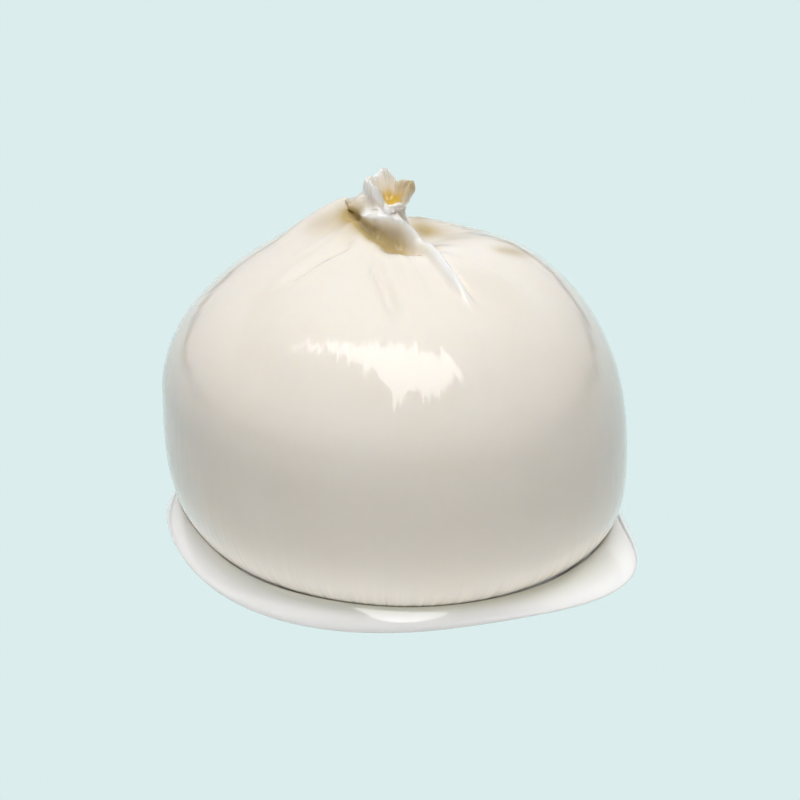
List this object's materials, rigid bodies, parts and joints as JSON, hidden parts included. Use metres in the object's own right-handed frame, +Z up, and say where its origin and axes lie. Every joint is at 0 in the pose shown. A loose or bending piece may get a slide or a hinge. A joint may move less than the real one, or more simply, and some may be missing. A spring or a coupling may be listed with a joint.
{
  "type": "burrata",
  "caption": "Fresh white cheese pouch with a gathered, knotted top, sitting in a small soft-cornered white porcelain dish.",
  "frame": {"origin": "middle of the whole object's footprint box, on the table", "axes": "+Z up through the knot; the front, over which the cheese hangs past the dish, faces -Y"},
  "size_m": [0.0918, 0.0962, 0.0815],
  "materials": {
    "porcelain": "clear glazed white porcelain",
    "cheese_skin": "moist, softly glossy fresh-cheese skin"
  },
  "bodies": {
    "root": {"dish": "porcelain", "burrata": "cheese_skin"}
  },
  "joints": []
}
